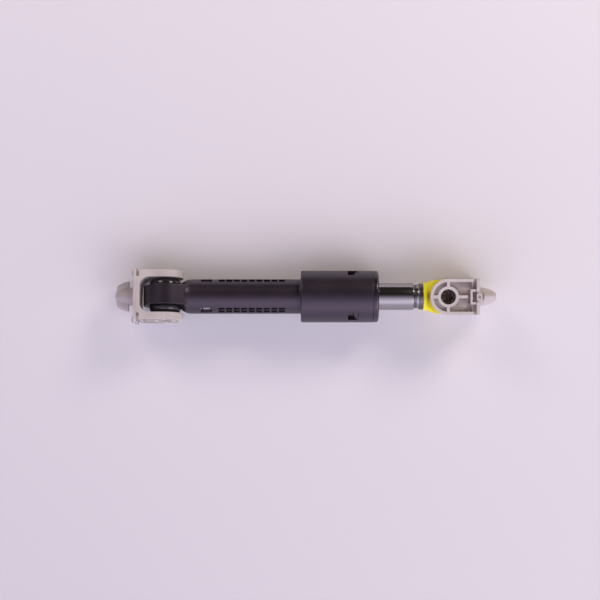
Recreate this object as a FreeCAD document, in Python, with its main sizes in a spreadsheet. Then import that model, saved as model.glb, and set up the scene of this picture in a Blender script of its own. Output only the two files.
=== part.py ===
import FreeCAD, Part
import math
import os
import Sketcher

# Washing machine shock absorber, a friction damper, in millimetres and degrees.
# The long axis is X: the housing foot's seat is at X = 0 and the rod points to +X.
# Stations of the housing are counted from the housing pivot towards the rod, those of the rod
# from the rod pivot towards the housing, and those of a yoke from its own pivot towards its peg.
# A share is a part of the head's depth, from the rod's surface to the head's.
SIZES = {
    # How the two ends lie
    "seat_to_pivot": 20.5,
    "guide_rest_gap": 7.0,
    "housing_roll": 9.5,
    # Pivot eyes
    "eye_width": 13.0,
    "eye_bore_radius": 8.8,
    "housing_eye_radius": 14.6,
    "rod_eye_radius": 12.3,
    "rod_eye_flare_start": 11.5,
    "rod_neck_start": 6.0,
    "rod_neck_start_radius": 13.9,
    # Housing tube
    "tube_flare_start": 8.0,
    "tube_start": 14.0,
    "tube_start_round": 9.0,
    "tube_radius": 11.5,
    "tube_bore_start": 15.5,
    "slot_first": 35.7,
    "slot_length": 4.0,
    "slot_pitch": 5.0,
    "slot_count": 9,
    "slot_width": 5.0,
    "slot_lean": 27.5,
    "window_start": 23.8,
    "window_length": 7.5,
    # Friction head of the housing
    "head_start": 90.2,
    "head_length": 48.0,
    "head_radius": 17.25,
    "head_wall_share": 0.266,
    "head_floor": 3.3,
    "head_edge_round": 1.2,
    "head_root_round": 0.8,
    "parting_chamfer": 0.3,
    "snap_window_to_rim": 9.9,
    "snap_window_length": 6.9,
    "snap_window_width": 8.0,
    "snap_count": 3,
    # End cap
    "cap_thickness": 3.6,
    "cap_edge_round": 1.6,
    "cap_mouth_chamfer": 0.8,
    "skirt_length": 24.2,
    "skirt_wall_share": 0.194,
    "skirt_end_gap": 0.5,
    "fit_gap": 0.1,
    "snap_slit": 1.2,
    "snap_arm_length": 18.0,
    "barb_gap": 0.35,
    "barb_toe": 0.3,
    # Friction unit
    "buffer_thickness": 3.5,
    "buffer_gap_share": 0.12,
    "carrier_float": 3.0,
    "carrier_gap": 0.3,
    "carrier_wall_share": 0.2,
    "carrier_end_wall": 2.0,
    "carrier_divider": 1.5,
    "lid_thickness": 2.0,
    "lid_ledge": 0.8,
    "lining_gap": 0.05,
    "lining_seat_gap": 0.1,
    # Rod
    "rod_radius": 9.0,
    "rod_wall": 1.2,
    "rod_mouth": 15.6,
    "rod_length": 139.1,
    "rod_gap": 0.08,
    "lip_radius": 8.75,
    "lip_length": 3.3,
    "lip_round": 0.4,
    "groove_width": 2.6,
    "groove_flank": 0.7,
    "groove_radius": 7.17,
    "guide_radius": 9.5,
    "guide_length": 10.0,
    "guide_round": 0.8,
    "guide_bore_radius": 5.5,
    "collar_length": 2.0,
    "collar_radius": 9.2,
    "collar_blend": 0.5,
    "spigot_length": 20.0,
    "spigot_bore_radius": 4.0,
    "spigot_core_wall": 3.0,
    # Bushes, sleeves and pins
    "bush_length": 23.2,
    "bush_flange_radius": 10.7,
    "bush_edge_round": 4.0,
    "bush_relief": 0.3,
    "sleeve_wall": 1.39,
    "pin_radius": 4.98,
    "pin_inset": 1.8,
    "pin_recess_radius": 3.4,
    "pin_recess_depth": 3.0,
    "pin_gap": 0.08,
    "pin_seat_gap": 0.02,
    # Yokes, the same moulding at both ends
    "yoke_side_gap": 0.25,
    "cheek_thickness": 4.7,
    "cheek_radius": 11.8,
    "fork_depth": 16.3,
    "fork_corner": 6.3,
    "tray_depth": 3.2,
    "tray_rim": 2.0,
    "boss_wall": 2.0,
    "spoke_width": 2.0,
    "long_spoke_end": 12.8,
    "relief_start": 16.7,
    "relief_depth": 4.4,
    "flange_thickness": 1.9,
    "flange_length": 35.4,
    "flange_width": 24.0,
    "flange_corner": 1.2,
    # Lock tongues of the yokes
    "lock_back": 15.9,
    "lock_half_width": 3.45,
    "lock_floor": 9.0,
    "lock_wall": 1.6,
    "lock_back_wall": 1.3,
    "tongue_width": 4.0,
    "tongue_thickness": 1.5,
    "tongue_inset": 0.3,
    "tongue_pad_height": 2.6,
    "tongue_proud": 1.7,
    "tongue_dimple_depth": 0.9,
    "tongue_dimple_wall": 1.0,
    # Bayonet pegs of the yokes
    "peg_neck_radius": 6.0,
    "peg_grip": 3.8,
    "peg_head_length": 8.9,
    "peg_head_half": 6.15,
    "wing_reach": 10.4,
}

doc = FreeCAD.newDocument("ShockAbsorber")
sheet = doc.addObject("Spreadsheet::Sheet", "Sizes")
for row, (alias, number) in enumerate(SIZES.items(), start=1):
    sheet.set(f"A{row}", alias)
    sheet.set(f"B{row}", str(number))
    sheet.setAlias(f"B{row}", alias)


class Size:
    """A length with the sheet formula that gives it, so a drawn point and its constraint always agree."""

    def __init__(self, value, formula):
        self.value = value
        self.formula = formula

    def __add__(self, other):
        other = as_size(other)
        return Size(self.value + other.value, f"({self.formula} + {other.formula})")

    def __sub__(self, other):
        other = as_size(other)
        return Size(self.value - other.value, f"({self.formula} - {other.formula})")

    def __mul__(self, factor):
        factor = as_size(factor)
        return Size(self.value * factor.value, f"({self.formula} * {factor.formula})")

    def __truediv__(self, divisor):
        divisor = as_size(divisor)
        return Size(self.value / divisor.value, f"({self.formula} / {divisor.formula})")

    def __neg__(self):
        return Size(-self.value, f"(0 - {self.formula})")

    def half_chord(self, distance):
        """Half the chord of a circle of this radius, at a distance from its centre."""
        value = math.sqrt(self.value ** 2 - distance.value ** 2)
        return Size(value, f"sqrt({self.formula} ^ 2 - {distance.formula} ^ 2)")


def as_size(number):
    return number if isinstance(number, Size) else Size(number, str(number))


class Cells:
    """The sheet's cells as sizes, read by their alias."""

    def __getattr__(self, alias):
        return Size(SIZES[alias], f"Sizes.{alias}")


d = Cells()


def bind(thing, property_name, size):
    thing.setExpression(property_name, as_size(size).formula)


# Sketches

def new_body(label):
    body = doc.addObject("PartDesign::Body", label)
    body.Label = label
    return body


def origin_feature(body, role):
    return next(feature for feature in body.Origin.OriginFeatures if feature.Role == role)


def lift_from_plane(thing, body, plane, height=0, turn=0):
    """On an origin plane, lifted along its normal or turned about its own first axis."""
    thing.AttachmentSupport = (origin_feature(body, plane), [""])
    thing.MapMode = "FlatFace"
    lift = as_size(height)
    lean = as_size(turn)
    thing.AttachmentOffset = FreeCAD.Placement(
        FreeCAD.Vector(0, 0, lift.value),
        FreeCAD.Rotation(FreeCAD.Vector(1, 0, 0), lean.value),
    )
    place = f"placement(vector(0; 0; {lift.formula}); rotation(vector(1; 0; 0); {lean.formula}))"
    thing.setExpression("AttachmentOffset", place)


def new_sketch(body, name, plane, height=0, turn=0):
    sketch = body.newObject("Sketcher::SketchObject", f"{body.Label}_{name}")
    lift_from_plane(sketch, body, plane, height, turn)
    return sketch


def constrain(sketch, kind, *where, size=None):
    if size is None:
        sketch.addConstraint(Sketcher.Constraint(kind, *where))
        return
    index = sketch.addConstraint(Sketcher.Constraint(kind, *where, size.value))
    bind(sketch, f"Constraints[{index}]", size)


# How a sketch numbers the ends and the centre of a line or arc, and its own axes and origin
START, END, CENTRE = range(1, 4)
X_AXIS, Y_AXIS = range(-1, -3, -1)
ORIGIN = (X_AXIS, START)


def hold_point(sketch, geometry, end, x, y):
    """Fix a point of the sketch at the sizes x and y from the sketch's origin."""
    x = as_size(x)
    y = as_size(y)
    if x.formula == "0":
        constrain(sketch, "PointOnObject", geometry, end, Y_AXIS)
    else:
        constrain(sketch, "DistanceX", *ORIGIN, geometry, end, size=x)
    if y.formula == "0":
        constrain(sketch, "PointOnObject", geometry, end, X_AXIS)
    else:
        constrain(sketch, "DistanceY", *ORIGIN, geometry, end, size=y)


def flat(x, y):
    return FreeCAD.Vector(as_size(x).value, as_size(y).value, 0)


def arc_between(centre, radius, start, finish):
    circle = Part.Circle(centre, FreeCAD.Vector(0, 0, 1), radius)
    begin = math.atan2(start.y - centre.y, start.x - centre.x)
    end = math.atan2(finish.y - centre.y, finish.x - centre.x)
    return Part.ArcOfCircle(circle, begin, end)


def draw(sketch, corners):
    """A closed outline of straight sides; a corner is (x, y), or (x, y, radius) where it is rounded."""
    spots = [flat(x, y) for x, y, *_ in corners]
    count = len(corners)
    arrive = list(spots)
    leave = list(spots)
    centres = [None] * count
    for i, (_, _, *rounding) in enumerate(corners):
        if not rounding:
            continue
        back = (spots[i - 1] - spots[i]).normalize()
        ahead = (spots[(i + 1) % count] - spots[i]).normalize()
        half_angle = back.getAngle(ahead) / 2
        cut = rounding[0].value / math.tan(half_angle)
        arrive[i] = spots[i] + back * cut
        leave[i] = spots[i] + ahead * cut
        middle = (back + ahead).normalize()
        centres[i] = spots[i] + middle * (rounding[0].value / math.sin(half_angle))
    lines = []
    for i in range(count):
        side = Part.LineSegment(leave[i], arrive[(i + 1) % count])
        lines.append(sketch.addGeometry(side, False))
    for i, (x, y, *rounding) in enumerate(corners):
        before = lines[i - 1]
        after = lines[i]
        if not rounding:
            constrain(sketch, "Coincident", before, END, after, START)
            hold_point(sketch, after, START, x, y)
            continue
        left_turn = (spots[i] - spots[i - 1]).cross(spots[(i + 1) % count] - spots[i]).z > 0
        ends = (arrive[i], leave[i]) if left_turn else (leave[i], arrive[i])
        arc = sketch.addGeometry(arc_between(centres[i], rounding[0].value, *ends), False)
        corner = sketch.addGeometry(Part.Point(spots[i]), True)
        hold_point(sketch, corner, START, x, y)
        constrain(sketch, "PointOnObject", corner, START, before)
        constrain(sketch, "PointOnObject", corner, START, after)
        first, second = (START, END) if left_turn else (END, START)
        constrain(sketch, "Tangent", before, END, arc, first)
        constrain(sketch, "Tangent", arc, second, after, START)
        constrain(sketch, "Radius", arc, size=rounding[0])


def draw_box(sketch, x_low, x_high, y_low, y_high, *rounding):
    draw(sketch, [
        (x_low, y_low, *rounding),
        (x_high, y_low, *rounding),
        (x_high, y_high, *rounding),
        (x_low, y_high, *rounding),
    ])


def draw_circle(sketch, radius):
    circle = Part.Circle(FreeCAD.Vector(0, 0, 0), FreeCAD.Vector(0, 0, 1), radius.value)
    index = sketch.addGeometry(circle, False)
    constrain(sketch, "Coincident", index, CENTRE, *ORIGIN)
    constrain(sketch, "Radius", index, size=radius)


def draw_round_nose(sketch, radius, far, far_half):
    """An outline round the origin whose two tangent sides run to a straight end at x = far."""
    reach = math.hypot(far.value, far_half.value)
    angle = math.atan2(far_half.value, far.value) + math.acos(radius.value / reach)
    upper = flat(math.cos(angle) * radius.value, math.sin(angle) * radius.value)
    lower = flat(upper.x, -upper.y)
    top = flat(far, far_half)
    bottom = flat(far, -far_half)
    nose = sketch.addGeometry(arc_between(flat(0, 0), radius.value, upper, lower), False)
    down = sketch.addGeometry(Part.LineSegment(lower, bottom), False)
    across = sketch.addGeometry(Part.LineSegment(bottom, top), False)
    back = sketch.addGeometry(Part.LineSegment(top, upper), False)
    constrain(sketch, "Coincident", nose, CENTRE, *ORIGIN)
    constrain(sketch, "Radius", nose, size=radius)
    constrain(sketch, "Tangent", nose, END, down, START)
    constrain(sketch, "Tangent", back, END, nose, START)
    constrain(sketch, "Coincident", down, END, across, START)
    constrain(sketch, "Coincident", across, END, back, START)
    hold_point(sketch, across, START, far, -far_half)
    hold_point(sketch, across, END, far, far_half)


# Features

def feature(body, kind, sketch):
    made = body.newObject(f"PartDesign::{kind}", f"{sketch.Label}_{kind}")
    made.Profile = sketch
    sketch.Visibility = False
    return made


def extrude(body, kind, sketch, length, symmetric=False):
    made = feature(body, kind, sketch)
    made.SideType = "Symmetric" if symmetric else "One side"
    bind(made, "Length", length)
    return made


def cut_through(body, sketch, symmetric=True):
    made = feature(body, "Pocket", sketch)
    made.SideType = "Symmetric" if symmetric else "One side"
    made.Type = "ThroughAll"
    return made


def turn(body, kind, sketch, axis="H_Axis"):
    made = feature(body, kind, sketch)
    made.ReferenceAxis = (sketch, [axis])
    made.Angle = 360
    return made


def pattern(body, kind, name, originals):
    made = body.newObject(f"PartDesign::{kind}", f"{body.Label}_{name}")
    made.Originals = originals
    body.Tip = made
    return made


def spread_round(body, name, originals, count):
    made = pattern(body, "PolarPattern", name, originals)
    made.Axis = (origin_feature(body, "X_Axis"), [""])
    made.Angle = 360
    bind(made, "Occurrences", count)


# Places

def place_at_housing(body, facing_back=False):
    """On the housing pivot, rolled with the housing; a piece that faces back points to the housing foot."""
    roll = f"rotation(vector(1; 0; 0); 0 - 90 - {d.housing_roll.formula})"
    if facing_back:
        roll += " * rotation(vector(0; 0; 1); 180)"
    body.setExpression("Placement", f"placement(vector({d.seat_to_pivot.formula}; 0; 0); {roll})")


def place_at_rod(body, facing_back=True):
    """On the rod pivot; a piece of the rod faces back to the housing, the yoke faces out."""
    spin = f"rotation(vector(0; 0; 1); {180 if facing_back else 0})"
    pivot = d.seat_to_pivot + pivot_distance
    body.setExpression("Placement", f"placement(vector({pivot.formula}; 0; 0); {spin})")


# Stations and radii that several pieces share
rod_bore = d.rod_radius - d.rod_wall
rod_inner_end = d.rod_mouth + d.rod_length
pivot_distance = d.tube_bore_start + d.guide_rest_gap + d.guide_length + rod_inner_end
tube_bore = d.guide_radius + d.fit_gap
head_rim = d.head_start + d.head_length
head_floor_x = d.head_start + d.head_floor
head_depth = d.head_radius - d.rod_radius
cavity_radius = d.head_radius - head_depth * d.head_wall_share
skirt_radius = cavity_radius - d.fit_gap
skirt_wall = head_depth * d.skirt_wall_share
skirt_bore = skirt_radius - skirt_wall
snap_window_end = head_rim - d.snap_window_to_rim
carrier_radius = skirt_bore - d.carrier_gap
carrier_start = head_floor_x + d.buffer_thickness + d.carrier_float + d.carrier_gap
carrier_end = head_rim - d.buffer_thickness - d.carrier_float - d.carrier_gap
carrier_bore = d.rod_radius + d.carrier_gap
lining_seat_radius = carrier_radius - head_depth * d.carrier_wall_share
lid_radius = lining_seat_radius + d.lid_ledge
lid_start = carrier_end - d.lid_thickness
divider_middle = (carrier_start + d.carrier_end_wall + lid_start) / 2
divider_start = divider_middle - d.carrier_divider / 2
divider_end = divider_middle + d.carrier_divider / 2
sleeve_bore = d.pin_radius + d.pin_gap
sleeve_radius = sleeve_bore + d.sleeve_wall
fork_half = d.bush_length / 2 + d.yoke_side_gap
cheek_outside = fork_half + d.cheek_thickness


# Pivot eyes

def add_slab_eye(body, radius, run, half_at_run):
    """A flat-sided eye on the pivot whose tangent sides run into the piece behind it."""
    side = new_sketch(body, "eye", "XY_Plane")
    draw_round_nose(side, radius, run, half_at_run)
    extrude(body, "Pad", side, d.eye_width, symmetric=True)


def bore_eye(body):
    bore = new_sketch(body, "eye_bore", "XY_Plane")
    draw_circle(bore, d.eye_bore_radius)
    cut_through(body, bore)


def relieve_eye(body):
    """Room beside the eye for the bush's flanges, where the neck behind it would touch them."""
    relief = new_sketch(body, "bush_relief", "XZ_Plane")
    reach = d.bush_flange_radius + d.bush_relief
    inside = d.eye_width / 2
    outside = d.bush_length / 2 + d.bush_relief
    draw_box(relief, 0, reach, inside, outside)
    draw_box(relief, 0, reach, -outside, -inside)
    turn(body, "Groove", relief, "V_Axis")


# Housing: a black moulding with the pivot eye, the slotted tube and the wide friction head
def make_housing():
    body = new_body("housing")
    hidden_half = d.tube_radius.half_chord(d.eye_width / 2) - d.fit_gap
    add_slab_eye(body, d.housing_eye_radius, d.tube_bore_start - d.fit_gap, hidden_half)
    wall = new_sketch(body, "wall", "XY_Plane")
    seat = head_rim - d.skirt_length - d.skirt_end_gap
    draw(wall, [
        (d.tube_flare_start, 0),
        (d.tube_bore_start, 0),
        (d.tube_bore_start, tube_bore),
        (head_floor_x, tube_bore),
        (head_floor_x, skirt_bore),
        (seat, skirt_bore),
        (seat, cavity_radius),
        (head_rim, cavity_radius),
        (head_rim, d.head_radius - d.parting_chamfer),
        (head_rim - d.parting_chamfer, d.head_radius),
        (d.head_start, d.head_radius, d.head_edge_round),
        (d.head_start, d.tube_radius, d.head_root_round),
        (d.tube_start, d.tube_radius, d.tube_start_round),
        (d.tube_flare_start, d.eye_width / 2),
    ])
    turn(body, "Revolution", wall)
    relieve_eye(body)
    bore_eye(body)
    slots = []
    for name, lean in (("upper", d.slot_lean), ("lower", -d.slot_lean)):
        window = new_sketch(body, f"window_{name}", "XY_Plane", turn=lean)
        window_end = d.window_start + d.window_length
        draw_box(window, d.window_start, window_end, -d.slot_width / 2, d.slot_width / 2)
        cut_through(body, window)
    for name, lean in (("upper", d.slot_lean), ("lower", -d.slot_lean)):
        slot = new_sketch(body, f"slot_{name}", "XY_Plane", turn=lean)
        slot_end = d.slot_first + d.slot_length
        draw_box(slot, d.slot_first, slot_end, -d.slot_width / 2, d.slot_width / 2)
        slots.append(cut_through(body, slot))
    row = pattern(body, "LinearPattern", "slot_row", slots)
    row.Direction = (origin_feature(body, "X_Axis"), [""])
    row.Mode = "Spacing"
    bind(row, "Offset", d.slot_pitch)
    bind(row, "Occurrences", d.slot_count)
    snap = new_sketch(body, "snap_window", "XZ_Plane")
    half = d.snap_window_width / 2
    draw_box(snap, snap_window_end - d.snap_window_length, snap_window_end, -half, half)
    window = cut_through(body, snap, symmetric=False)
    spread_round(body, "snap_windows", [window], d.snap_count)
    place_at_housing(body)
    return body


# End cap: closes the head, guides the rod and snaps into the head's windows with barbs on its skirt
def make_end_cap():
    body = new_body("end_cap")
    ring = new_sketch(body, "ring", "XY_Plane")
    bore = d.rod_radius + d.rod_gap
    face = head_rim + d.cap_thickness
    skirt_end = head_rim - d.skirt_length
    draw(ring, [
        (head_rim, bore),
        (face - d.cap_mouth_chamfer, bore),
        (face, bore + d.cap_mouth_chamfer),
        (face, d.head_radius, d.cap_edge_round),
        (head_rim + d.parting_chamfer, d.head_radius),
        (head_rim, d.head_radius - d.parting_chamfer),
        (head_rim, skirt_radius),
        (skirt_end, skirt_radius),
        (skirt_end, skirt_bore),
        (head_rim, skirt_bore),
    ])
    turn(body, "Revolution", ring)
    slits = new_sketch(body, "snap_slits", "XZ_Plane")
    arm_half = d.snap_window_width / 2 + d.barb_gap
    for way in (1, -1):
        draw_box(
            slits,
            skirt_end - d.snap_slit, skirt_end + d.snap_arm_length,
            arm_half * way, (arm_half + d.snap_slit) * way,
        )
    slit_cut = cut_through(body, slits, symmetric=False)
    barb = new_sketch(body, "barb", "XY_Plane")
    catch = snap_window_end - d.barb_gap
    toe = snap_window_end - d.snap_window_length + d.barb_gap
    root = skirt_radius - skirt_wall / 2
    draw(barb, [
        (toe, root),
        (catch, root),
        (catch, d.head_radius - d.barb_gap),
        (toe, skirt_radius + d.barb_toe),
    ])
    barb_pad = extrude(body, "Pad", barb, d.snap_window_width - d.barb_gap * 2, symmetric=True)
    spread_round(body, "snap_arms", [slit_cut, barb_pad], d.snap_count)
    place_at_housing(body)
    return body


# Turned rings inside the head
def make_ring(label, start, end, inner, outer):
    body = new_body(label)
    section = new_sketch(body, "section", "XY_Plane")
    draw_box(section, start, end, inner, outer)
    turn(body, "Revolution", section)
    place_at_housing(body)
    return body


def make_buffers():
    inner = d.rod_radius + head_depth * d.buffer_gap_share
    rear = make_ring(
        "rear_buffer", head_floor_x, head_floor_x + d.buffer_thickness, inner, carrier_radius)
    front = make_ring("front_buffer", head_rim - d.buffer_thickness, head_rim, inner, carrier_radius)
    return [rear, front]


# Lining carrier: a cage with a chamber for each lining, closed by a pressed lid
def make_carrier():
    body = new_body("lining_carrier")
    section = new_sketch(body, "section", "XY_Plane")
    chamber_start = carrier_start + d.carrier_end_wall
    draw(section, [
        (carrier_start, carrier_bore),
        (chamber_start, carrier_bore),
        (chamber_start, lining_seat_radius),
        (divider_start, lining_seat_radius),
        (divider_start, carrier_bore),
        (divider_end, carrier_bore),
        (divider_end, lining_seat_radius),
        (lid_start, lining_seat_radius),
        (lid_start, lid_radius),
        (carrier_end, lid_radius),
        (carrier_end, carrier_radius),
        (carrier_start, carrier_radius),
    ])
    turn(body, "Revolution", section)
    place_at_housing(body)
    lid = make_ring("carrier_lid", lid_start, carrier_end, carrier_bore, lid_radius)
    return [body, lid]


def make_linings():
    gap = d.lining_seat_gap
    inner = d.rod_radius + d.lining_gap
    outer = lining_seat_radius - gap
    chamber_start = carrier_start + d.carrier_end_wall
    return [
        make_ring("rear_lining", chamber_start + gap, divider_start - gap, inner, outer),
        make_ring("front_lining", divider_end + gap, lid_start - gap, inner, outer),
    ]


# Rod: a plated steel tube whose wall is rolled into the rod end's groove
def groove_line(surface_radius, mouth_radius, bottom_radius, spread):
    """The rolled groove from the tube side to the mouth, widened by spread on the inside of the wall."""
    near = d.rod_mouth + d.lip_length
    far = near + d.groove_width
    return [
        (far + spread, surface_radius),
        (far - d.groove_flank + spread, bottom_radius),
        (near + d.groove_flank - spread, bottom_radius),
        (near - spread, mouth_radius),
    ]


def rod_inside_line():
    return groove_line(
        rod_bore, d.lip_radius - d.rod_wall, d.groove_radius - d.rod_wall, d.rod_wall / 3)


def make_rod_tube():
    body = new_body("rod_tube")
    wall = new_sketch(body, "wall", "XY_Plane")
    draw(wall, [
        (rod_inner_end, d.rod_radius),
        *groove_line(d.rod_radius, d.lip_radius, d.groove_radius, as_size(0)),
        (d.rod_mouth, d.lip_radius, d.lip_round),
        (d.rod_mouth, d.lip_radius - d.rod_wall),
        *reversed(rod_inside_line()),
        (rod_inner_end, rod_bore),
    ])
    turn(body, "Revolution", wall)
    place_at_rod(body)
    return body


# Rod guide: a plug in the rod's inner end whose collar runs in the housing tube
def make_rod_guide():
    body = new_body("rod_guide")
    section = new_sketch(body, "section", "XY_Plane")
    spigot_end = rod_inner_end - d.guide_length
    collar_end = rod_inner_end + d.guide_length
    draw(section, [
        (spigot_end, d.guide_bore_radius),
        (collar_end, d.guide_bore_radius),
        (collar_end, d.guide_radius, d.guide_round),
        (rod_inner_end, d.guide_radius),
        (rod_inner_end, rod_bore),
        (spigot_end, rod_bore),
    ])
    turn(body, "Revolution", section)
    place_at_rod(body)
    return body


# Rod end: the yellow pivot eye, with a collar on the rod's mouth and a grooved spigot inside it
def make_rod_end():
    body = new_body("rod_end")
    collar_start = d.rod_mouth - d.collar_length
    spigot_end = d.rod_mouth + d.spigot_length
    add_slab_eye(body, d.rod_eye_radius, collar_start, d.collar_radius + d.collar_blend)
    neck = new_sketch(body, "neck", "XY_Plane")
    draw(neck, [
        (d.rod_neck_start, d.rod_neck_start_radius),
        (collar_start, d.collar_radius),
        (collar_start, d.rod_neck_start_radius),
    ])
    turn(body, "Groove", neck)
    section = new_sketch(body, "spigot", "XY_Plane")
    core_start = collar_start + d.spigot_core_wall
    draw(section, [
        (d.rod_eye_flare_start, 0),
        (core_start, 0),
        (core_start, d.spigot_bore_radius),
        (spigot_end, d.spigot_bore_radius),
        (spigot_end, rod_bore),
        *rod_inside_line(),
        (d.rod_mouth, d.lip_radius - d.rod_wall),
        (d.rod_mouth, d.collar_radius),
        (collar_start, d.collar_radius),
        (d.rod_eye_flare_start, d.eye_width / 2),
    ])
    turn(body, "Revolution", section)
    bore_eye(body)
    place_at_rod(body)
    return body


# Pivots: a flanged rubber bush in each eye, its steel sleeve and the pin that the sleeve turns on
def make_bush(label, place):
    body = new_body(label)
    section = new_sketch(body, "section", "XZ_Plane")
    end = d.bush_length / 2
    waist = d.eye_width / 2
    draw(section, [
        (sleeve_radius, -end),
        (d.bush_flange_radius, -end, d.bush_edge_round),
        (d.bush_flange_radius, -waist),
        (d.eye_bore_radius, -waist),
        (d.eye_bore_radius, waist),
        (d.bush_flange_radius, waist),
        (d.bush_flange_radius, end, d.bush_edge_round),
        (sleeve_radius, end),
    ])
    turn(body, "Revolution", section, "V_Axis")
    place(body)
    return body


def make_sleeve(label, place):
    body = new_body(label)
    section = new_sketch(body, "section", "XZ_Plane")
    end = d.bush_length / 2
    draw_box(section, sleeve_bore, sleeve_radius, -end, end)
    turn(body, "Revolution", section, "V_Axis")
    place(body)
    return body


def make_pin(label, place):
    body = new_body(label)
    section = new_sketch(body, "section", "XZ_Plane")
    end = cheek_outside - d.pin_inset
    floor = end - d.pin_recess_depth
    draw(section, [
        (0, -floor),
        (d.pin_recess_radius, -floor),
        (d.pin_recess_radius, -end),
        (d.pin_radius, -end),
        (d.pin_radius, end),
        (d.pin_recess_radius, end),
        (d.pin_recess_radius, floor),
        (0, floor),
    ])
    turn(body, "Revolution", section, "V_Axis")
    place(body)
    return body


# Yoke: a fork with ribbed cheeks on a spring flange, two lock tongues and a bayonet peg
def make_yoke(label, place):
    body = new_body(label)
    flange_inside = d.seat_to_pivot - d.flange_thickness
    add_fork(body, flange_inside)
    add_flange_and_peg(body, flange_inside)
    both_ends = add_cheek_ribs(body, flange_inside) + add_lock(body, flange_inside)
    mirrored = pattern(body, "Mirrored", "other_cheek", both_ends)
    mirrored.MirrorPlane = (origin_feature(body, "XY_Plane"), [""])
    bore = new_sketch(body, "pin_bore", "XY_Plane")
    draw_circle(bore, d.pin_radius + d.pin_seat_gap)
    body.Tip = cut_through(body, bore)
    place(body)
    return body


def add_fork(body, flange_inside):
    outline = new_sketch(body, "cheeks", "XY_Plane")
    draw_round_nose(outline, d.cheek_radius, flange_inside, d.cheek_radius)
    extrude(body, "Pad", outline, cheek_outside * 2, symmetric=True)
    gap = new_sketch(body, "fork_gap", "XZ_Plane")
    open_end = d.cheek_radius * 2
    draw(gap, [
        (-open_end, -fork_half),
        (d.fork_depth, -fork_half, d.fork_corner),
        (d.fork_depth, fork_half, d.fork_corner),
        (-open_end, fork_half),
    ])
    cut_through(body, gap)


def add_flange_and_peg(body, flange_inside):
    flange = new_sketch(body, "flange", "YZ_Plane", height=flange_inside)
    half_width = d.flange_width / 2
    half_length = d.flange_length / 2
    draw_box(flange, -half_width, half_width, -half_length, half_length, d.flange_corner)
    extrude(body, "Pad", flange, d.flange_thickness)
    neck = new_sketch(body, "peg_neck", "YZ_Plane", height=flange_inside)
    draw_circle(neck, d.peg_neck_radius)
    extrude(body, "Pad", neck, d.flange_thickness + d.peg_grip)
    head = body.newObject("PartDesign::AdditiveEllipsoid", f"{body.Label}_peg_head")
    lift_from_plane(head, body, "YZ_Plane", d.seat_to_pivot + d.peg_grip)
    head.Angle1 = 0
    bind(head, "Radius1", d.peg_head_length)
    bind(head, "Radius2", d.peg_head_half)
    bind(head, "Radius3", d.wing_reach)


def add_cheek_ribs(body, flange_inside):
    """The tray in a cheek's outer face, with its boss, spokes and the walls of the lock pocket."""
    tray = new_sketch(body, "tray", "XY_Plane", height=cheek_outside)
    tray_radius = d.cheek_radius - d.tray_rim
    boss_radius = d.pin_radius + d.boss_wall
    draw_round_nose(tray, tray_radius, flange_inside, tray_radius)
    draw_circle(tray, boss_radius)
    tray_cut = extrude(body, "Pocket", tray, d.tray_depth)
    relief = new_sketch(body, "relief", "XY_Plane", height=cheek_outside)
    relief_half = d.cheek_radius + d.tray_rim
    draw_box(relief, d.relief_start, flange_inside, -relief_half, relief_half)
    relief_cut = extrude(body, "Pocket", relief, d.relief_depth)
    ribs = new_sketch(body, "ribs", "XY_Plane", height=cheek_outside - d.tray_depth)
    half = d.spoke_width / 2
    hub = boss_radius - d.boss_wall / 2
    ring = tray_radius + d.tray_rim / 2
    draw_box(ribs, -half, half, hub, ring)
    draw_box(ribs, -half, half, -ring, -hub)
    draw_box(ribs, -ring, -hub, -half, half)
    draw_box(ribs, hub, d.long_spoke_end, -half, half)
    wall_half = d.lock_half_width + d.lock_wall
    draw_box(ribs, d.lock_back - d.lock_back_wall, flange_inside, -wall_half, wall_half)
    rib_pad = extrude(body, "Pad", ribs, d.tray_depth)
    return [tray_cut, relief_cut, rib_pad]


def add_lock(body, flange_inside):
    """A spring tongue in a window of the flange, its free end proud of the seat, and the pocket behind it."""
    window = new_sketch(body, "lock_window", "XZ_Plane")
    clear = d.flange_length
    front = d.seat_to_pivot + d.peg_grip / 2
    draw_box(window, d.lock_back, front, d.lock_floor, clear)
    window_cut = extrude(body, "Pocket", window, d.lock_half_width * 2, symmetric=True)
    tongue = new_sketch(body, "tongue", "XZ_Plane")
    end = d.flange_length / 2 - d.tongue_inset
    pad_start = end - d.tongue_pad_height
    root = d.lock_floor - d.tongue_thickness
    face = d.seat_to_pivot + d.tongue_proud
    draw(tongue, [
        (d.seat_to_pivot - d.tongue_thickness, root),
        (d.seat_to_pivot, root),
        (d.seat_to_pivot, d.lock_floor),
        (face, pad_start),
        (face, end),
        (flange_inside, end),
        (flange_inside, pad_start),
        (face - d.tongue_thickness, pad_start),
        (d.seat_to_pivot - d.tongue_thickness, d.lock_floor),
    ])
    tongue_pad = extrude(body, "Pad", tongue, d.tongue_width, symmetric=True)
    dimple = new_sketch(body, "tongue_dimple", "XY_Plane", height=end)
    rim = d.tongue_dimple_wall
    half = d.tongue_width / 2 - rim
    draw_box(dimple, flange_inside + rim, face - rim, -half, half)
    dimple_cut = extrude(body, "Pocket", dimple, d.tongue_dimple_depth)
    return [window_cut, tongue_pad, dimple_cut]


# Assembly
def place_yoke_at_housing(body):
    place_at_housing(body, facing_back=True)


def place_yoke_at_rod(body):
    place_at_rod(body, facing_back=False)


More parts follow.
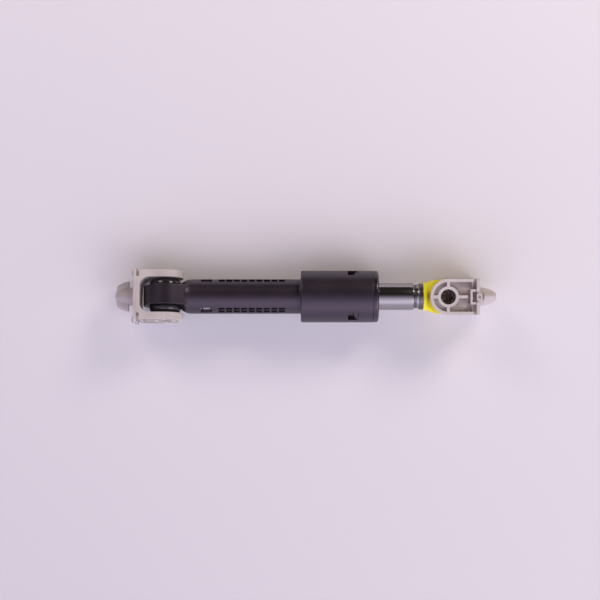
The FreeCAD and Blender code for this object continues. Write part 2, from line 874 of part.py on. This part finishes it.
pieces = [
    make_housing(),
    make_end_cap(),
    *make_buffers(),
    *make_carrier(),
    *make_linings(),
    make_rod_tube(),
    make_rod_guide(),
    make_rod_end(),
    make_bush("housing_bush", place_at_housing),
    make_bush("rod_bush", place_at_rod),
    make_sleeve("housing_bush_sleeve", place_at_housing),
    make_sleeve("rod_bush_sleeve", place_at_rod),
    make_yoke("housing_yoke", place_yoke_at_housing),
    make_yoke("rod_yoke", place_yoke_at_rod),
    make_pin("housing_pivot_pin", place_at_housing),
    make_pin("rod_pivot_pin", place_at_rod),
]
doc.recompute()

# Every feature has worked, every cut has taken material away, and each piece is one sound solid
for thing in doc.Objects:
    if "Invalid" in thing.State or "Error" in thing.State:
        raise RuntimeError(f"{thing.Label} is not built: {thing.State}")
    if thing.TypeId in ("PartDesign::Pocket", "PartDesign::Groove"):
        if thing.Shape.Volume >= thing.BaseFeature.Shape.Volume:
            raise RuntimeError(f"{thing.Label} cuts nothing")
for piece in pieces:
    if piece.Shape.isNull() or not piece.Shape.isValid() or len(piece.Shape.Solids) != 1:
        raise RuntimeError(f"{piece.Label} is not one sound solid")

os.makedirs("parts", exist_ok=True)
for piece in pieces:
    piece.Shape.exportStep(f"parts/{piece.Label}.step")
    print(f"{piece.Label}: {piece.Shape.Volume:.1f} mm3")
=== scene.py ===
import math

import bmesh
import bpy
from mathutils import Matrix, Vector


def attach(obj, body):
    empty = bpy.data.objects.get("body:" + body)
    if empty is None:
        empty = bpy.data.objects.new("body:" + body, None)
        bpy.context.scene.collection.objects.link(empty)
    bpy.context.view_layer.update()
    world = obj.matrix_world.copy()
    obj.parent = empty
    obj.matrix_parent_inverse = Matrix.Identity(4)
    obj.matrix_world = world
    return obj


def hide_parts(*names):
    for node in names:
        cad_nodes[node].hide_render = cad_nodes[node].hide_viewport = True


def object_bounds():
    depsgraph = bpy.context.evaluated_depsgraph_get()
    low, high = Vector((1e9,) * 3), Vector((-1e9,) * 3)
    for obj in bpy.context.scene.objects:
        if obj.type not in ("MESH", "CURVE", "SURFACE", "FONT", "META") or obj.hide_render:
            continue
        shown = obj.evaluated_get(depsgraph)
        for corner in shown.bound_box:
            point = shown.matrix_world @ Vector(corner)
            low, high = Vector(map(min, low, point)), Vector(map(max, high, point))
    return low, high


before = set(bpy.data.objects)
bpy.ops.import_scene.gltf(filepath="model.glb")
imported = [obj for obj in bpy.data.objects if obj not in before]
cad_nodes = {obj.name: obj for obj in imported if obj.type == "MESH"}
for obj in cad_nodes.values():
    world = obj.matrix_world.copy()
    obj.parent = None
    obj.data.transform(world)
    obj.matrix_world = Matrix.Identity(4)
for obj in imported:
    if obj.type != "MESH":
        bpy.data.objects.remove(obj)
cad_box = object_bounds()


# Rod tube
# A drawn steel tube, plated bright, that slides in and out of the friction head. Its mouth is
# rolled into a groove of the rod end, which leaves a rounded lip and holds the two together.
MM = 0.001
ROD_PIVOT = Matrix.Translation((0.2077, 0, 0))
ROD_AXIS = ROD_PIVOT @ Matrix.Rotation(math.radians(-90), 4, "Y")
ROD_RADIUS = 9.0
ROD_BORE = 7.8
ROD_INNER_END = 154.7
ROD_MOUTH = 15.6
MOUTH_BORE = 7.55
NECK_RADIUS = 7.9
NECK_BORE = 5.97
LATHE_PATH_RADIUS = 0.001
LATHE_WELD = 0.000002
CORNER_STEPS = 5
CREASE_ANGLE = math.radians(40)

# Sockets of the Mix node for colours, by number because several share a name
MIX_FACTOR = 0
MIX_FIRST = 6
MIX_SECOND = 7
MIX_COLOUR = 2


def add_node(tree, kind, settings, sockets):
    """A node whose settings are made first, then the values or links of its sockets."""
    made = tree.nodes.new(kind)
    for name, value in settings.items():
        setattr(made, name, value)
    for key, value in sockets.items():
        if isinstance(value, bpy.types.NodeSocket):
            tree.links.new(value, made.inputs[key])
        else:
            made.inputs[key].default_value = value
    return made


def make_lathe():
    """Turns a closed section about Z, with each corner rounded by its point's own radius."""
    tree = bpy.data.node_groups.new("lathe", "GeometryNodeTree")
    tree.interface.new_socket("Section", in_out="INPUT", socket_type="NodeSocketGeometry")
    tree.interface.new_socket("Sides", in_out="INPUT", socket_type="NodeSocketInt")
    tree.interface.new_socket("Corner steps", in_out="INPUT", socket_type="NodeSocketInt")
    tree.interface.new_socket("Finish", in_out="INPUT", socket_type="NodeSocketMaterial")
    tree.interface.new_socket("Piece", in_out="OUTPUT", socket_type="NodeSocketGeometry")
    given = tree.nodes.new("NodeGroupInput").outputs
    rounding = add_node(tree, "GeometryNodeInputRadius", {}, {})
    rounded = add_node(tree, "GeometryNodeFilletCurve", {"mode": "POLY"}, {
        "Curve": given["Section"],
        "Radius": rounding.outputs[0],
        "Count": given["Corner steps"],
        "Limit Radius": True,
    })
    offset = add_node(tree, "GeometryNodeTransform", {}, {
        "Geometry": rounded.outputs[0],
        "Translation": (-LATHE_PATH_RADIUS, 0, 0),
    })
    path = add_node(tree, "GeometryNodeCurvePrimitiveCircle", {"mode": "RADIUS"}, {
        "Resolution": given["Sides"],
        "Radius": LATHE_PATH_RADIUS,
    })
    skin = add_node(tree, "GeometryNodeCurveToMesh", {}, {
        "Curve": path.outputs[0],
        "Profile Curve": offset.outputs[0],
    })
    closed = add_node(tree, "GeometryNodeMergeByDistance", {}, {
        "Geometry": skin.outputs[0],
        "Distance": LATHE_WELD,
    })
    smooth = add_node(tree, "GeometryNodeSetShadeSmooth", {"domain": "FACE"}, {
        "Geometry": closed.outputs[0],
        "Shade Smooth": True,
    })
    angle = add_node(tree, "GeometryNodeInputMeshEdgeAngle", {}, {})
    above = {"data_type": "FLOAT", "operation": "GREATER_THAN"}
    sharp = add_node(tree, "FunctionNodeCompare", above, {
        "A": angle.outputs["Unsigned Angle"],
        "B": CREASE_ANGLE,
    })
    creased = add_node(tree, "GeometryNodeSetShadeSmooth", {"domain": "EDGE"}, {
        "Geometry": smooth.outputs[0],
        "Selection": sharp.outputs[0],
        "Shade Smooth": False,
    })
    whole = add_node(tree, "GeometryNodeRealizeInstances", {}, {"Geometry": creased.outputs[0]})
    finished = add_node(tree, "GeometryNodeSetMaterial", {}, {
        "Geometry": whole.outputs[0],
        "Material": given["Finish"],
    })
    add_node(tree, "NodeGroupOutput", {}, {"Piece": finished.outputs[0]})
    return tree


lathe = make_lathe()


def set_input(modifier, name, value):
    """Sets a modifier's input by the identifier of the socket that has this name."""
    for item in modifier.node_group.interface.items_tree:
        if item.in_out == "INPUT" and item.name == name:
            modifier[item.identifier] = value


def turn_mesh(name, section, place, finish, sides=128):
    """A turned form from its section's corners: station, radius and rounding, in millimetres."""
    line = bpy.data.curves.new(name, "CURVE")
    line.dimensions = "3D"
    spline = line.splines.new("POLY")
    spline.points.add(len(section) - 1)
    for point, (station, radius, rounding) in zip(spline.points, section):
        point.co = (radius * MM, -station * MM, 0, 1)
        point.radius = rounding * MM
    spline.use_cyclic_u = True
    blank = bpy.data.objects.new(name, line)
    bpy.context.scene.collection.objects.link(blank)
    modifier = blank.modifiers.new("lathe", "NODES")
    modifier.node_group = lathe
    set_input(modifier, "Sides", sides)
    set_input(modifier, "Corner steps", CORNER_STEPS)
    set_input(modifier, "Finish", finish)
    evaluated = blank.evaluated_get(bpy.context.evaluated_depsgraph_get())
    mesh = bpy.data.meshes.new_from_object(evaluated)
    bpy.data.objects.remove(blank)
    mesh.transform(place)
    work = bmesh.new()
    work.from_mesh(mesh)
    loose = [edge for edge in work.edges if not edge.link_faces]
    bmesh.ops.delete(work, geom=loose, context="EDGES")
    bmesh.ops.recalc_face_normals(work, faces=work.faces)
    work.to_mesh(mesh)
    work.free()
    return mesh


def stand_in(name, mesh, node, body):
    """A piece that takes the place of a CAD node and moves with its body."""
    mesh.name = name
    piece = bpy.data.objects.new(name, mesh)
    bpy.context.scene.collection.objects.link(piece)
    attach(piece, body)
    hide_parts(node)


class Field:
    """A value over a surface. Sums, differences and products of fields add their Math nodes."""

    def __init__(self, tree, socket):
        self.tree = tree
        self.socket = socket

    def node(self, kind, settings, sockets, output=0):
        """Any other node, from its settings and the values or fields of its sockets."""
        links = {}
        for key, value in sockets.items():
            links[key] = value.socket if isinstance(value, Field) else value
        return Field(self.tree, add_node(self.tree, kind, settings, links).outputs[output])

    def maths(self, operation, *values):
        return self.node("ShaderNodeMath", {"operation": operation}, dict(enumerate(values)))

    def __add__(self, other):
        return self.maths("ADD", self, other)

    def __sub__(self, other):
        return self.maths("SUBTRACT", self, other)

    def __rsub__(self, other):
        return self.maths("SUBTRACT", other, self)

    def __mul__(self, other):
        return self.maths("MULTIPLY", self, other)

    __radd__ = __add__
    __rmul__ = __mul__

    def ramp(self, low, high):
        """0 below low, 1 above high, and smooth between them."""
        return self.node("ShaderNodeMapRange", {"interpolation_type": "SMOOTHSTEP"}, {
            "Value": self, "From Min": low, "From Max": high,
        })

    def band(self, start, full, fade, end):
        """Rises from start to full and falls from fade to end."""
        return self.ramp(start, full) * (1 - self.ramp(fade, end))

    def part(self, axis):
        """The X, Y or Z of a field of places."""
        return self.node("ShaderNodeSeparateXYZ", {}, {"Vector": self}, axis)

    def dot(self, other):
        sockets = {0: self, 1: other}
        return self.node("ShaderNodeVectorMath", {"operation": "DOT_PRODUCT"}, sockets, "Value")

    def noise(self, scale, detail=3.0):
        sockets = {"Vector": self, "Scale": scale, "Detail": detail}
        return self.node("ShaderNodeTexNoise", {}, sockets)

    def stretched(self, scale):
        return self.node("ShaderNodeMapping", {}, {"Vector": self, "Scale": scale})

    def facing(self):
        """The way that the surface faces, before any bump."""
        return self.node("ShaderNodeNewGeometry", {}, {}, "Normal")

    def open_air(self, distance):
        """1 where nothing stands within this distance in metres, and less in corners."""
        return self.node("ShaderNodeAmbientOcclusion", {"samples": 8}, {"Distance": distance}, "AO")

    def tint(self, first, second):
        """The first colour where this field is 0, the second where it is 1."""
        return self.node("ShaderNodeMix", {"data_type": "RGBA", "clamp_factor": True}, {
            MIX_FACTOR: self, MIX_FIRST: first, MIX_SECOND: second,
        }, MIX_COLOUR)

    def feed(self, shader, name):
        self.tree.links.new(self.socket, shader.inputs[name])


def new_finish(name):
    """A material, its shader and the place on the piece in metres."""
    finish = bpy.data.materials.new(name)
    finish.use_nodes = True
    tree = finish.node_tree
    shader = tree.nodes["Principled BSDF"]
    place = Field(tree, tree.nodes.new("ShaderNodeTexCoord").outputs["Object"])
    return finish, shader, place


def raise_surface(height, depth, shader, normal=None):
    """A bump of this depth in metres, over the piece's own normal or a given one."""
    sockets = {"Height": height, "Distance": depth}
    if normal is not None:
        sockets["Normal"] = normal
    height.node("ShaderNodeBump", {}, sockets).feed(shader, "Normal")


plated_steel, shader, place = new_finish("plated_steel")
draw_lines = place.stretched((12, 1500, 1500)).noise(1.0, 2.0)
wiped = place.stretched((60, 160, 160)).noise(1.0, 4.0).ramp(0.45, 0.75)
along = place.part("X")
# Painted reflection: the rolled neck's colour is painted dark in place of dark reflections, and one
# ring of it is mostly left unpainted so that it shows as a bright stripe.
neck_ring_left_bright = along.band(0.1874, 0.1879, 0.1887, 0.1892)
rolled_neck_painted_dark = along.ramp(0.1855, 0.1862) * (1 - 0.9 * neck_ring_left_bright)
bright = wiped.tint((0.37, 0.355, 0.345, 1), (0.335, 0.32, 0.315, 1))
rolled_neck_painted_dark.tint(bright, (0.16, 0.15, 0.155, 1)).feed(shader, "Base Color")
(0.10 + 0.05 * draw_lines + 0.10 * wiped + 0.12 * rolled_neck_painted_dark).feed(shader, "Roughness")
shader.inputs["Metallic"].default_value = 1.0
raise_surface(draw_lines, 0.000002, shader)

rod_form = turn_mesh("plated_rod", [
    (ROD_INNER_END, ROD_RADIUS, 0.4),
    (22.2, ROD_RADIUS, 0.4),
    (21.7, NECK_RADIUS, 0.4),
    (19.4, NECK_RADIUS, 0.5),
    (18.0, 8.7, 0.8),
    (ROD_MOUTH, 8.8, 0.4),
    (ROD_MOUTH, MOUTH_BORE, 0.2),
    (18.5, MOUTH_BORE, 0.3),
    (19.2, NECK_BORE, 0.3),
    (21.2, NECK_BORE, 0.3),
    (21.9, ROD_BORE, 0.3),
    (ROD_INNER_END, ROD_BORE, 0.2),
], ROD_AXIS, plated_steel)
stand_in("plated_rod", rod_form, "rod_tube", "rod")


# Rod guide
# A plug of natural white plastic pressed into the rod's inner end. Its collar runs in the
# housing's bore, and a strip of it shows through the housing's windows.
GUIDE_START = 144.7
GUIDE_END = 164.7
GUIDE_BORE = 5.5
GUIDE_COLLAR = 9.5
GUIDE_WAIST = 8.8
GUIDE_GROOVE = 7.2
# How far the test for the painted corner shade looks, in metres.
CORNER_SHADE_REACH = 0.004


def add_moulded_look(shader, place, dull, fresh, gloss, grain, edge_round, corner_shade, corner_shade_strength):
    """A moulding: fine spark-eroded grain, cloudy pigment, rubbed edges and painted shade in its
    corners.

    Returns the colour, so that more can be laid over it.
    """
    rounded = place.node("ShaderNodeBevel", {"samples": 6}, {"Radius": edge_round})
    rubbed = (1 - rounded.dot(place.facing())).ramp(0.01, 0.25)
    # Painted shade: the colour darkens where ambient occlusion finds corners and recesses.
    corner = (1 - place.open_air(CORNER_SHADE_REACH)).ramp(0.25, 0.95)
    cloud = place.noise(90.0, 4.0)
    speck = place.noise(2600.0, 2.0)
    wear = place.noise(420.0, 3.0).ramp(0.35, 0.7)
    body = (cloud * 0.65 + speck * 0.35).ramp(0.3, 0.7).tint(dull, fresh)
    worn = tuple(0.6 * c + 0.22 for c in fresh[:3]) + (1,)
    lit = (rubbed * wear * 0.5).tint(body, worn)
    roughness = gloss + 0.12 * cloud + 0.10 * speck - 0.06 * rubbed + 0.12 * corner
    roughness.feed(shader, "Roughness")
    raise_surface(speck, grain, shader, rounded)
    # The painted corner shade is laid over the colour here.
    return (corner * corner_shade_strength).tint(lit, corner_shade)


white_plastic, shader, place = new_finish("white_plastic")
white = add_moulded_look(
    shader, place,
    dull=(0.66, 0.65, 0.60, 1), fresh=(0.74, 0.73, 0.68, 1),
    gloss=0.36, grain=0.00001, edge_round=0.0003,
    corner_shade=(0.2, 0.18, 0.15, 1), corner_shade_strength=0.4,
)
white.feed(shader, "Base Color")

guide_form = turn_mesh("grooved_rod_guide", [
    (GUIDE_START, GUIDE_BORE, 0.2),
    (GUIDE_END, GUIDE_BORE, 0.4),
    (GUIDE_END, GUIDE_COLLAR, 0.8),
    (163.4, GUIDE_COLLAR, 0.3),
    (163.0, GUIDE_GROOVE, 0.3),
    (162.4, GUIDE_GROOVE, 0.2),
    (162.0, GUIDE_WAIST, 0.3),
    (157.0, GUIDE_WAIST, 0.3),
    (156.6, GUIDE_GROOVE, 0.2),
    (156.0, GUIDE_GROOVE, 0.3),
    (155.6, GUIDE_COLLAR, 0.3),
    (ROD_INNER_END, GUIDE_COLLAR, 0.2),
    (ROD_INNER_END, ROD_BORE, 0.05),
    (GUIDE_START, ROD_BORE, 0.3),
], ROD_AXIS, white_plastic, sides=64)
stand_in("grooved_rod_guide", guide_form, "rod_guide", "rod")


# Rod end
# The yellow pivot eye, moulded in one with the spigot that the rod's mouth is rolled onto. Its
# collar sits against the rod's lip, and the two sides of the eye are eased flatter than round.
EYE_TRUE_TO = 10.4
EYE_EASE = 1.3
COPY_WELD = 0.001 * MM
KEPT_SHADING = "kept_shading"


def joined_copy(node):
    """A copy of a node's mesh with its faces joined and a layer that keeps their shading."""
    form = cad_nodes[node].data
    normals = [normal.vector.copy() for normal in form.corner_normals]
    work = bmesh.new()
    work.from_mesh(form)
    shading = work.loops.layers.float_vector.new(KEPT_SHADING)
    for face in work.faces:
        for corner in face.loops:
            corner[shading] = normals[corner.index]
    bmesh.ops.remove_doubles(work, verts=work.verts, dist=COPY_WELD)
    return work


def drop_shading(work, point):
    """Lets the faces around a moved point find their shading anew."""
    shading = work.loops.layers.float_vector[KEPT_SHADING]
    for face in point.link_faces:
        for corner in face.loops:
            corner[shading] = (0, 0, 0)


def copied_mesh(work, finish):
    """The mesh of a reworked copy, shaded as its node is wherever the copy was left alone."""
    mesh = bpy.data.meshes.new("reworked")
    for edge in work.edges:
        if edge.calc_face_angle(0) > CREASE_ANGLE:
            edge.smooth = False
    work.to_mesh(mesh)
    work.free()
    shading = mesh.attributes[KEPT_SHADING]
    mesh.normals_split_custom_set([normal.vector for normal in shading.data])
    mesh.attributes.remove(mesh.attributes[KEPT_SHADING])
    mesh.materials.append(finish)
    return mesh


yellow_plastic, shader, place = new_finish("yellow_plastic")
yellow = add_moulded_look(
    shader, place,
    dull=(0.95, 0.78, 0.015, 1), fresh=(1.0, 0.87, 0.022, 1),
    gloss=0.26, grain=0.000006, edge_round=0.0005,
    corner_shade=(0.50, 0.34, 0.01, 1), corner_shade_strength=0.15,
)
yellow.feed(shader, "Base Color")
shader.inputs["Subsurface Weight"].default_value = 0.6
shader.inputs["Subsurface Radius"].default_value = (1.0, 0.7, 0.1)
shader.inputs["Subsurface Scale"].default_value = 0.002

work = joined_copy("rod_end")
for point in work.verts:
    past = abs(point.co.y) / MM - EYE_TRUE_TO
    if past > 0:
        reach = EYE_TRUE_TO + EYE_EASE * math.tanh(past / EYE_EASE)
        point.co.y = math.copysign(reach * MM, point.co.y)
        drop_shading(work, point)
eye_form = copied_mesh(work, yellow_plastic)
stand_in("yellow_rod_end", eye_form, "rod_end", "rod")


# Bushes and sleeves
# A black rubber bush with a flange on each side sits in each pivot eye, and a drawn steel sleeve
# lines it, so that the fork clamps on the sleeve and the rubber takes the shake.
HOUSING_PIVOT = Matrix.Translation((0.0205, 0, 0)) @ Matrix.Rotation(math.radians(-99.5), 4, "X")
BUSH_HALF = 11.6
BUSH_BORE = 6.45
BUSH_BODY = 8.8
BUSH_FLANGE = 10.7
EYE_HALF = 6.5


def dress(finish, *names):
    """Gives CAD nodes this finish."""
    for name in names:
        cad_nodes[name].data.materials.clear()
        cad_nodes[name].data.materials.append(finish)


rubber, shader, place = new_finish("rubber")
bloom = place.noise(260.0, 4.0).ramp(0.35, 0.75)
pores = place.noise(3800.0, 2.0)
bloom.tint((0.011, 0.010, 0.012, 1), (0.026, 0.024, 0.026, 1)).feed(shader, "Base Color")
(0.13 + 0.09 * bloom + 0.07 * pores).feed(shader, "Roughness")
shader.inputs["Specular IOR Level"].default_value = 0.6
raise_surface(pores, 0.000012, shader)

for name, pivot, body in (
    ("housing_bush", HOUSING_PIVOT, "housing"),
    ("rod_bush", ROD_PIVOT, "rod"),
):
    bush_form = turn_mesh(f"rubber_{name}", [
        (-BUSH_HALF, BUSH_BORE, 0.3),
        (-BUSH_HALF, BUSH_FLANGE, 3.9),
        (-EYE_HALF, BUSH_FLANGE, 0.8),
        (-EYE_HALF, BUSH_BODY, 0.2),
        (EYE_HALF, BUSH_BODY, 0.2),
        (EYE_HALF, BUSH_FLANGE, 0.8),
        (BUSH_HALF, BUSH_FLANGE, 3.9),
        (BUSH_HALF, BUSH_BORE, 0.3),
    ], pivot, rubber)
    stand_in(f"rubber_{name}", bush_form, name, body)

sleeve_steel, shader, place = new_finish("sleeve_steel")
scratch = place.stretched((300, 2500, 2500)).noise(1.0, 3.0)
scratch.tint((0.36, 0.36, 0.37, 1), (0.52, 0.52, 0.53, 1)).feed(shader, "Base Color")
(0.26 + 0.2 * scratch).feed(shader, "Roughness")
shader.inputs["Metallic"].default_value = 1.0
dress(sleeve_steel, "housing_bush_sleeve", "rod_bush_sleeve")


# Friction unit and buffers
# Inside the head, two greased foam rings sit in a white cage with a pressed lid and grip the rod.
# The cage floats a little each way between two rubber rings.
lining_foam, shader, place = new_finish("lining_foam")
cells = place.node("ShaderNodeTexVoronoi", {}, {"Vector": place, "Scale": 1600.0})
grease = place.noise(220.0, 3.0).ramp(0.4, 0.65)
grease.tint((0.30, 0.25, 0.18, 1), (0.16, 0.13, 0.09, 1)).feed(shader, "Base Color")
(0.85 - 0.45 * grease).feed(shader, "Roughness")
raise_surface(cells, 0.0001, shader)
dress(lining_foam, "rear_lining", "front_lining")
dress(white_plastic, "lining_carrier", "carrier_lid")
dress(rubber, "rear_buffer", "front_buffer")


# Housing and end cap
# One black moulding of glass-filled plastic makes the pivot eye, the slotted tube and the wide
# head. The cap, from a glossier mould, has barbs that spring into the head's windows.
BARB_TOE = 142.25
BARB_RAMP_START = 145.6
BARB_TOLERANCE = 0.05


def new_black(name, gloss):
    """The glass-filled black plastic, from a mould of this gloss."""
    finish, shader, place = new_finish(name)
    black = add_moulded_look(
        shader, place,
        dull=(0.0085, 0.0050, 0.0095, 1), fresh=(0.0115, 0.0070, 0.0130, 1),
        gloss=gloss, grain=0.000008, edge_round=0.0005,
        corner_shade=(0.004, 0.003, 0.004, 1), corner_shade_strength=0.9,
    )
    black.feed(shader, "Base Color")
    shader.inputs["Specular IOR Level"].default_value = 0.85
    shader.inputs["Specular Tint"].default_value = (1.0, 0.86, 1.0, 1)
    return finish


dress(new_black("black_plastic", 0.27), "housing")

work = joined_copy("end_cap")
for point in work.verts:
    if abs(point.co.x - BARB_TOE * MM) < BARB_TOLERANCE * MM:
        point.co.x = BARB_RAMP_START * MM
        drop_shading(work, point)
cap_form = copied_mesh(work, new_black("black_cap_plastic", 0.16))
stand_in("barbed_end_cap", cap_form, "end_cap", "housing")


# Yokes
# The two feet are one grey moulding, a ribbed fork on a flange, with two spring tongues and a
# winged peg that a quarter turn locks into the machine. Painted shade, mixed with patchy grime,
# darkens the trays of the cheeks, and painted shade darkens the left peg.
MIDDLE = 0.1141
TRAY_SHADE_REACH = 0.008
SEAT = 20.5
PEG_GRIP = 3.8
PEG_BACK = SEAT + PEG_GRIP
PEG_CUT_MARGIN = 0.1
PEG_ROOT = 2.0
PEG_TIP = 33.2
SHAFT_RADIUS = 5.9
WING_REACH = 10.4
WING_HALF_THICKNESS = 3.4

grey_plastic, shader, place = new_finish("grey_plastic")
clean_grey = add_moulded_look(
    shader, place,
    dull=(0.54, 0.49, 0.46, 1), fresh=(0.64, 0.59, 0.56, 1),
    gloss=0.36, grain=0.000012, edge_round=0.0004,
    corner_shade=(0.24, 0.18, 0.145, 1), corner_shade_strength=0.25,
)
along = place.part("X")
from_middle = along.maths("ABSOLUTE", along - MIDDLE)
# Painted shade with patchy grime: the outer trays darken to brown where ambient occlusion finds
# them sheltered, most towards the flange.
sheltered = 1 - place.open_air(TRAY_SHADE_REACH)
across = {0: place, 1: (0, 1, 1)}
from_axis = place.node("ShaderNodeVectorMath", {"operation": "MULTIPLY"}, across)
outside = place.facing().dot(from_axis)
by_flange = from_middle.band(0.086, 0.110, 0.1086, 0.1102)
tray = outside.ramp(0.004, 0.010) * by_flange
tray_shade_and_grime = sheltered.ramp(0.04, 0.40) * tray * place.noise(300.0, 4.0).ramp(0.1, 0.6)
# Painted shade: the left peg and its neck, below an X of zero, are painted patchily darker.
left_peg_shade = (1 - along.ramp(-0.0012, -0.0002)) * (0.30 + 0.30 * place.noise(240.0, 3.0))
left_peg_shaded_grey = left_peg_shade.tint(clean_grey, (0.30, 0.25, 0.255, 1))
(0.95 * tray_shade_and_grime).tint(left_peg_shaded_grey, (0.16, 0.105, 0.08, 1)).feed(shader, "Base Color")


def rework_peg(work, foot):
    """Swaps the head of a yoke's peg for a tapered shaft with two thin wings along the pin."""
    to_foot = foot.inverted()
    behind = (PEG_BACK - PEG_CUT_MARGIN) * MM
    head = [face for face in work.faces if (to_foot @ face.calc_center_median()).x > behind]
    bmesh.ops.delete(work, geom=head, context="FACES")
    rim = [edge for edge in work.edges if edge.is_boundary]
    bmesh.ops.holes_fill(work, edges=rim, sides=0)
    along_peg = foot @ Matrix.Rotation(math.radians(90), 4, "Y")
    work.from_mesh(turn_mesh("peg_shaft", [
        (PEG_BACK - PEG_ROOT, 0, 0),
        (PEG_BACK - PEG_ROOT, SHAFT_RADIUS, 0),
        (PEG_BACK + 0.6, SHAFT_RADIUS, 1.0),
        (28.6, 5.1, 6.0),
        (31.9, 3.6, 2.0),
        (PEG_TIP, 2.3, 1.2),
        (PEG_TIP, 0, 0),
    ], along_peg, grey_plastic, sides=64))
    flat = Matrix.Diagonal((1, WING_HALF_THICKNESS / WING_REACH, 1, 1))
    work.from_mesh(turn_mesh("peg_wings", [
        (PEG_BACK, 0, 0),
        (PEG_BACK, WING_REACH, 0.4),
        (PEG_BACK + 4.4, 9.1, 8.0),
        (PEG_TIP - 1.0, 7.2, 2.4),
        (PEG_TIP - 0.2, 0, 0),
    ], along_peg @ flat, grey_plastic, sides=96))


for node, foot, body in (
    ("housing_yoke", HOUSING_PIVOT @ Matrix.Rotation(math.pi, 4, "Z"), "housing_foot"),
    ("rod_yoke", ROD_PIVOT, "rod_foot"),
):
    work = joined_copy(node)
    rework_peg(work, foot)
    yoke_form = copied_mesh(work, grey_plastic)
    stand_in(f"winged_{node}", yoke_form, node, body)


# Pivot pins
# A pin of dark oxidised steel goes through each fork and its bush. Its ends are hollow and sit a
# little below the cheek's boss.
dark_steel, shader, place = new_finish("dark_steel")
oxide = place.noise(900.0, 4.0).ramp(0.5, 0.72)
oxide.tint((0.045, 0.030, 0.026, 1), (0.26, 0.19, 0.14, 1)).feed(shader, "Base Color")
(0.55 - 0.2 * oxide).feed(shader, "Roughness")
shader.inputs["Metallic"].default_value = 0.6
raise_surface(oxide, 0.00004, shader)
dress(dark_steel, "housing_pivot_pin", "rod_pivot_pin")


# Studio
# A plain pale sheet in a room that is bright and cool on the near side and dark on the far side.
# Two broad warm softboxes stand on the near side, and two small, warmer ones behind its ends.
FLOOR_GAP = 0.00005
FLOOR_HEIGHT = cad_box[0].z - FLOOR_GAP
FLOOR_HALF = 2.0
TARGET = Vector((0.1102, -0.0023, 0))
NEAR_TONE = (1.0, 0.92, 0.90)
FAR_TONE = (1.0, 0.87, 0.80)
CAMERA_DISTANCE = 1.05
CAMERA_TILT = math.radians(0.8)
FRAME_WIDTH = 0.4004
SENSOR_WIDTH = 36.0

pale_floor, shader, place = new_finish("pale_floor")
sheet = place.noise(3.0, 2.0).tint((0.79, 0.775, 0.785, 1), (0.81, 0.795, 0.805, 1))
sheet.feed(shader, "Base Color")
shader.inputs["Roughness"].default_value = 0.7
mesh = bpy.data.meshes.new("floor")
corners = [
    (x * FLOOR_HALF, y * FLOOR_HALF, FLOOR_HEIGHT)
    for x, y in ((-1, -1), (1, -1), (1, 1), (-1, 1))
]
mesh.from_pydata(corners, [], [(0, 1, 2, 3)])
mesh.materials.append(pale_floor)
floor = bpy.data.objects.new("floor", mesh)
bpy.context.scene.collection.objects.link(floor)

for name, spot, power, width, tone in (
    ("right_softbox", (0.70, -0.60, 0.75), 3.3, 0.7, NEAR_TONE),
    ("left_softbox", (-0.78, -0.28, 0.86), 0.6, 1.2, NEAR_TONE),
    ("far_right_softbox", (0.66, 0.79, 0.60), 5.2, 0.4, FAR_TONE),
    ("far_left_softbox", (-0.66, 0.79, 0.60), 2.8, 0.4, FAR_TONE),
):
    lamp = bpy.data.lights.new(name, "AREA")
    lamp.shape = "SQUARE"
    lamp.size = width
    lamp.energy = power
    lamp.color = tone
    softbox = bpy.data.objects.new(name, lamp)
    bpy.context.scene.collection.objects.link(softbox)
    softbox.location = TARGET + Vector(spot)
    softbox.rotation_euler = (TARGET - softbox.location).to_track_quat("-Z", "Y").to_euler()

room = bpy.data.worlds.new("room")
room.use_nodes = True
tree = room.node_tree
look = Field(tree, tree.nodes.new("ShaderNodeTexCoord").outputs["Generated"])
near = 0 - look.part("Y")
near_wall = (0.45 * near.ramp(0.78, 1.0)).tint((1.44, 1.34, 1.76, 1), (0, 0, 0, 1))
walls = near.ramp(-0.35, 0.90).tint((0.035, 0.03, 0.03, 1), near_wall)
walls.feed(tree.nodes["Background"], "Color")
bpy.context.scene.world = room

lens = bpy.data.cameras.new("camera")
lens.sensor_width = SENSOR_WIDTH
lens.lens = SENSOR_WIDTH * CAMERA_DISTANCE / FRAME_WIDTH
camera = bpy.data.objects.new("camera", lens)
bpy.context.scene.collection.objects.link(camera)
upward = Vector((0, math.sin(CAMERA_TILT), math.cos(CAMERA_TILT)))
camera.location = TARGET + CAMERA_DISTANCE * upward
camera.rotation_euler = (-CAMERA_TILT, 0, 0)
bpy.context.scene.camera = camera
bpy.context.scene.view_settings.view_transform = "Standard"
